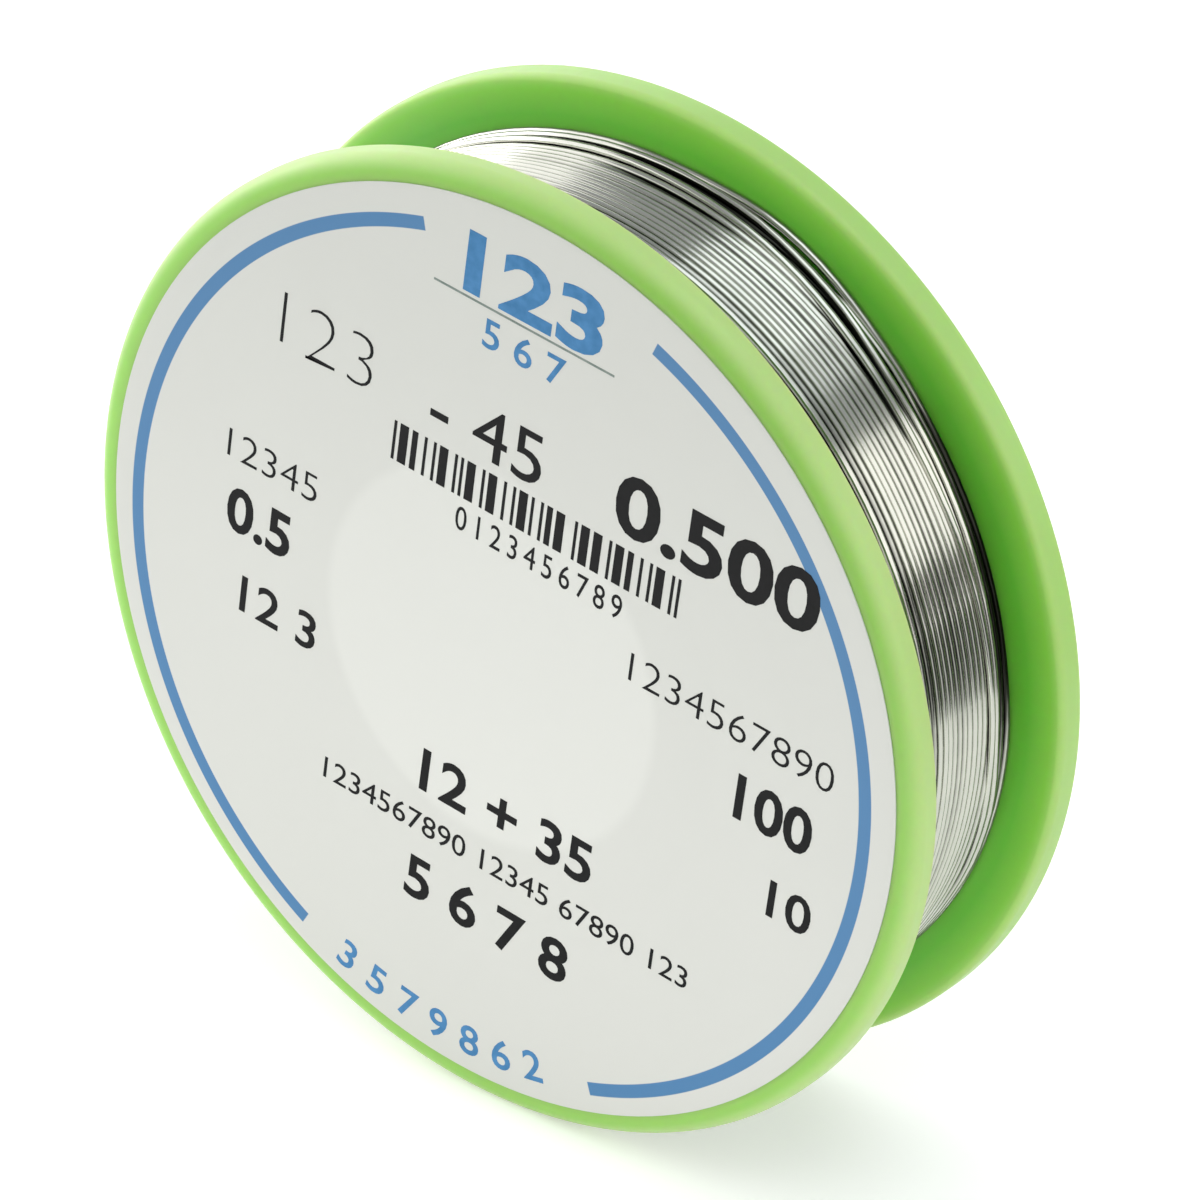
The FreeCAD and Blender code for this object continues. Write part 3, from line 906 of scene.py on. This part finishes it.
def wire_line():
    """The outer layer's centre line, from a loop that lies over it at the front to its end at the rear."""
    layer = WINDING_RADIUS - WIRE_RADIUS
    loops = 1 + TIGHT_TURNS + len(LOOSE_LOOPS)
    points = []
    for number in range(loops * WIRE_STEPS + 1):
        turns = number / WIRE_STEPS
        loop = min(int(turns), loops - 1)
        angle = (turns - loop) * 360 - HIDDEN_SIDE
        if loop == 0:
            place, lift = smooth_between(FIRST_LOOP, angle)
        elif loop <= TIGHT_TURNS:
            place, lift = tight_place_and_lift(turns - 1)
        else:
            place, lift = smooth_between(LOOSE_LOOPS[loop - 1 - TIGHT_TURNS], angle)
        to_the_end = min(turns, loops - turns) * 2 * math.pi * layer
        dip = DIP_DEPTH * (1 - min(1.0, to_the_end / DIP_LENGTH)) ** 2
        turn = (PLACE_ANGLE - angle) / 360
        points.append(on_spool(layer + lift * MM - dip, turn, LABEL_FACE + place * MM))
    return points


def add_tube(mesh, line, radius):
    """Adds a tube along a line that runs round the spool's axis, closed at both ends."""
    rings = []
    for i, point in enumerate(line):
        way = (line[min(i + 1, len(line) - 1)] - line[max(i - 1, 0)]).normalized()
        outward = Vector((point.x, 0, point.z - AXIS_HEIGHT))
        outward = (outward - way * outward.dot(way)).normalized()
        across = way.cross(outward)
        angles = [2 * math.pi * side / WIRE_SIDES for side in range(WIRE_SIDES)]
        spokes = [outward * math.cos(angle) + across * math.sin(angle) for angle in angles]
        rings.append([mesh.verts.new(point + spoke * radius) for spoke in spokes])
    for ring, following in zip(rings, rings[1:]):
        bridge(mesh, ring, following)
    mesh.faces.new(rings[0])
    mesh.faces.new(rings[-1])


def make_outer_wire():
    """The outer layer of wire, as one unbroken tube."""
    mesh = bmesh.new()
    add_tube(mesh, wire_line(), WIRE_RADIUS)
    finish_piece("wire_outer_layer", mesh, solder, ["wire_outer_turns"], sharp=60)


def make_inner_layers():
    """The layers below, with their own turns as ridges that show in the gaps."""
    inside = BARREL_RADIUS + WIRE_CLEARANCE
    layer = WINDING_RADIUS - WIRE_RADIUS - LAYER_STEP
    front = GAP_FRONT + WIRE_CLEARANCE
    pitch = (GAP_REAR - GAP_FRONT - 2 * WIRE_CLEARANCE) / INNER_TURNS
    outline = [Vector((inside, front)), Vector((layer, front))]
    for turn in range(INNER_TURNS):
        middle = front + pitch * (turn + 0.5)
        for step in range(1, RIDGE_STEPS):
            angle = math.pi * step / RIDGE_STEPS
            ridge = layer + WIRE_RADIUS * math.sin(angle)
            outline.append(Vector((ridge, middle - pitch / 2 * math.cos(angle))))
        outline.append(Vector((layer, middle + pitch / 2)))
    outline.append(Vector((inside, GAP_REAR - WIRE_CLEARANCE)))
    mesh = bmesh.new()
    lathe(mesh, outline, CORE_STEPS)
    finish_piece("wire_inner_layers", mesh, solder, ["wire_core"], sharp=70)


make_front_flange()
make_rear_flange_hub()
make_label()
make_print()
make_outer_wire()
make_inner_layers()


# ---- floor, light and camera ----

GROUND_HALF = 4.0
GROUND_CELLS = 16

# The surroundings, as linear colours, and where each goes over to the next, as parts of the unit
# vector that points there: along Y, Z, X, Y and the way to the left, which is given as (X, Z).
SIDE_TONE = (0.36, 0.375, 0.37, 1)
BEHIND_TONE = (0.37, 0.4, 0.4, 1)
BEHIND_FADE = (-0.2, 0.5)
LOW_RIGHT_TONE = (0.04, 0.04, 0.04, 1)
LOW_FADE = (-0.02, 0.04)
LOW_TILT = 0.16
RIGHT_FADE = (0.0, 0.2)
IN_FRONT_TONE = (0.14, 0.14, 0.14, 1)
IN_FRONT_FADE = (-0.9, -0.7)
LEFT_TONE = (1.6, 1.6, 1.58, 1)
LEFT_WAY = (-0.972, -0.235)
LEFT_FADE = (0.64, 0.67)

# The card on the ground: its nearest and furthest reach, how far it goes to each side of +X in degrees,
# and its height. A pale lane runs out between two headings, and its inner end is white.
CARD_REACH = (0.03, 1.2)
CARD_SPREAD = 80
CARD_STEPS = 24
CARD_HEIGHT = 0.5 * MM
CARD_DARK = (0.05, 0.05, 0.05, 1)
CARD_LANE = (0.64, 0.64, 0.62, 1)
CARD_INNER = (0.9, 0.905, 0.87, 1)
CARD_INNER_LIGHT = (1.0, 1.0, 0.96, 1)
CARD_INNER_STRENGTH = 0.2
LANE_HEADINGS = (-25.0, 1.0)
LANE_EDGE = 6.0
INNER_REACH = (0.1065, 0.1105)

# Long softboxes parallel to the spool's axis: name, angle round it from +X towards +Z and spread, both
# in degrees, distance, length, brightness and tint.
STRIPS = [
    ("strip_right", 25, 30, 0.7, 2.4, 1.03, (1.0, 0.985, 0.93)),
    ("strip_overhead", 79, 31, 0.9, 1.5, 1.05, (0.92, 1.0, 1.0)),
    ("strip_feather", 58, 10, 0.92, 1.5, 0.6, (0.93, 1.0, 1.0)),
    ("strip_left", 150, 46, 0.8, 2.7, 1.0, (1.0, 0.99, 0.95)),
]

# Flat lamps: name, place, the way from the spool to the lamp, size, brightness and tint.
LAMPS = [
    ("glow_right", (0.685, -0.145, 0.075), (1.0, -0.21, 0.06), (0.36, 0.15), 0.65, (1.0, 0.98, 0.94)),
    ("low_left", (-0.95, 0.05, 0.19), (-0.98, 0.05, 0.16), (0.34, 0.34), 3.0, (1.0, 0.94, 0.94)),
    ("foot_card", (-0.01, -0.055, 0.013), (0.0, -1.0, -0.1), (0.14, 0.026), 0.86, (1.0, 0.99, 1.0)),
]

# The camera's lens and sensor in millimetres, the nearest and furthest that it sees, its place from the
# middle of the label's face, and its axes to the right, up and back.
LENS = 240
SENSOR = 36
CAMERA_CLIP = (0.01, 20)
CAMERA_PLACE = (0.2640, -0.3143, 0.2356)
CAMERA_AXES = ((0.7759, 0.6309, 0.0), (-0.3101, 0.3814, 0.8708), (0.5494, -0.6757, 0.4916))


def make_floor():
    """A flat floor that reaches past the picture's edges."""
    mesh = bmesh.new()
    places = [-GROUND_HALF + 2 * GROUND_HALF * i / GROUND_CELLS for i in range(GROUND_CELLS + 1)]
    grid = [[mesh.verts.new((x, y, 0)) for x in places] for y in places]
    for row, following in zip(grid, grid[1:]):
        for i in range(GROUND_CELLS):
            mesh.faces.new((row[i], row[i + 1], following[i + 1], following[i]))
    add_object("ground", mesh, make_floor_material())


def make_world():
    """Grey surroundings, darker straight in front of the label, nearly black low on the right, and white
    on the left."""
    world = bpy.data.worlds.new("studio")
    bpy.context.scene.world = world
    world.use_nodes = True
    tree = world.node_tree
    way = split(tree, add_node(tree, "TexCoord").outputs["Generated"])
    shade = mix_colours(tree, ramp(tree, way["Y"], *BEHIND_FADE), SIDE_TONE, BEHIND_TONE)
    rise = maths(tree, "SUBTRACT", way["Z"], maths(tree, "MULTIPLY", way["X"], LOW_TILT))
    low_right = maths(
        tree, "MULTIPLY", ramp(tree, rise, *LOW_FADE, 1.0, 0.0), ramp(tree, way["X"], *RIGHT_FADE),
    )
    shade = mix_colours(tree, low_right, shade, LOW_RIGHT_TONE)
    in_front = ramp(tree, way["Y"], *IN_FRONT_FADE, 1.0, 0.0)
    shade = mix_colours(tree, in_front, shade, IN_FRONT_TONE)
    leftward = maths(
        tree, "ADD", maths(tree, "MULTIPLY", way["X"], LEFT_WAY[0]),
        maths(tree, "MULTIPLY", way["Z"], LEFT_WAY[1]),
    )
    shade = mix_colours(tree, ramp(tree, leftward, *LEFT_FADE), shade, LEFT_TONE)
    plug(tree, tree.nodes["Background"].inputs["Color"], shade)


def add_lamp(name, place, way, size, brightness, tint):
    """A flat lamp that shines back along the way. A brightness of 1 shows as white."""
    data = bpy.data.lights.new(name, "AREA")
    data.shape = "RECTANGLE"
    data.size, data.size_y = size
    data.energy = brightness * math.pi * data.size * data.size_y
    data.color = tint
    lamp = bpy.data.objects.new(name, data)
    bpy.context.scene.collection.objects.link(lamp)
    lamp.location = place
    lamp.rotation_mode = "QUATERNION"
    lamp.rotation_quaternion = Vector(way).normalized().to_track_quat("Z", "Y")
    lamp.visible_camera = False


def add_strip(name, angle, spread, distance, length, brightness, tint):
    """A long softbox parallel to the spool's axis, as wide as its spread at its distance."""
    angle, spread = math.radians(angle), math.radians(spread)
    way = Vector((math.cos(angle), 0, math.sin(angle)))
    width = 2 * distance * math.tan(spread / 2)
    add_lamp(name, way * distance + Vector((0, 0, AXIS_HEIGHT)), way, (length, width), brightness, tint)


def make_card_material():
    """Dark, with a pale lane and a white inner end, so that the wire mirrors bands of both."""
    material, tree, shader = new_material("dark_ground")
    spot = split(tree, object_spot(tree))
    heading = maths(tree, "MULTIPLY", maths(tree, "ARCTAN2", spot["Y"], spot["X"]), 180 / math.pi)
    shade = mix_colours(tree, band(tree, heading, *LANE_HEADINGS, LANE_EDGE), CARD_DARK, CARD_LANE)
    beyond = ramp(tree, distance(tree, spot["X"], spot["Y"]), *INNER_REACH)
    shade = mix_colours(tree, beyond, CARD_INNER, shade)
    feed(
        tree, shader, Base_Color=shade, Roughness=1.0, Specular_IOR_Level=0.0,
        Emission_Color=CARD_INNER_LIGHT,
        Emission_Strength=waver(tree, beyond, CARD_INNER_STRENGTH, 0.0),
    )
    return material


def make_ground_card():
    """A sheet to the spool's right that only glossy surfaces see, like the dark side of a studio."""
    mesh = bmesh.new()
    rows = []
    for step in range(CARD_STEPS + 1):
        angle = math.radians(CARD_SPREAD * (2 * step / CARD_STEPS - 1))
        way = Vector((math.cos(angle), math.sin(angle), 0))
        rows.append([mesh.verts.new(way * reach + Vector((0, 0, CARD_HEIGHT))) for reach in CARD_REACH])
    for row, following in zip(rows, rows[1:]):
        mesh.faces.new((row[0], row[1], following[1], following[0]))
    card = add_object("dark_ground", mesh, make_card_material())
    card.visible_camera = False
    card.visible_diffuse = False
    card.visible_shadow = False
    card.visible_transmission = False


def add_camera():
    """The photograph's camera, fitted to the outlines of the flanges, the label and the printed ring."""
    data = bpy.data.cameras.new("camera")
    data.sensor_width = SENSOR
    data.lens = LENS
    data.clip_start, data.clip_end = CAMERA_CLIP
    camera = bpy.data.objects.new("camera", data)
    bpy.context.scene.collection.objects.link(camera)
    place = Vector((0, LABEL_FACE, AXIS_HEIGHT)) + Vector(CAMERA_PLACE)
    camera.matrix_world = Matrix.Translation(place) @ Matrix(CAMERA_AXES).transposed().to_4x4()
    bpy.context.scene.camera = camera


make_floor()
make_world()
make_ground_card()
for strip in STRIPS:
    add_strip(*strip)
for lamp in LAMPS:
    add_lamp(*lamp)
add_camera()

bpy.context.scene.view_settings.view_transform = "Standard"

bpy.context.view_layer.update()
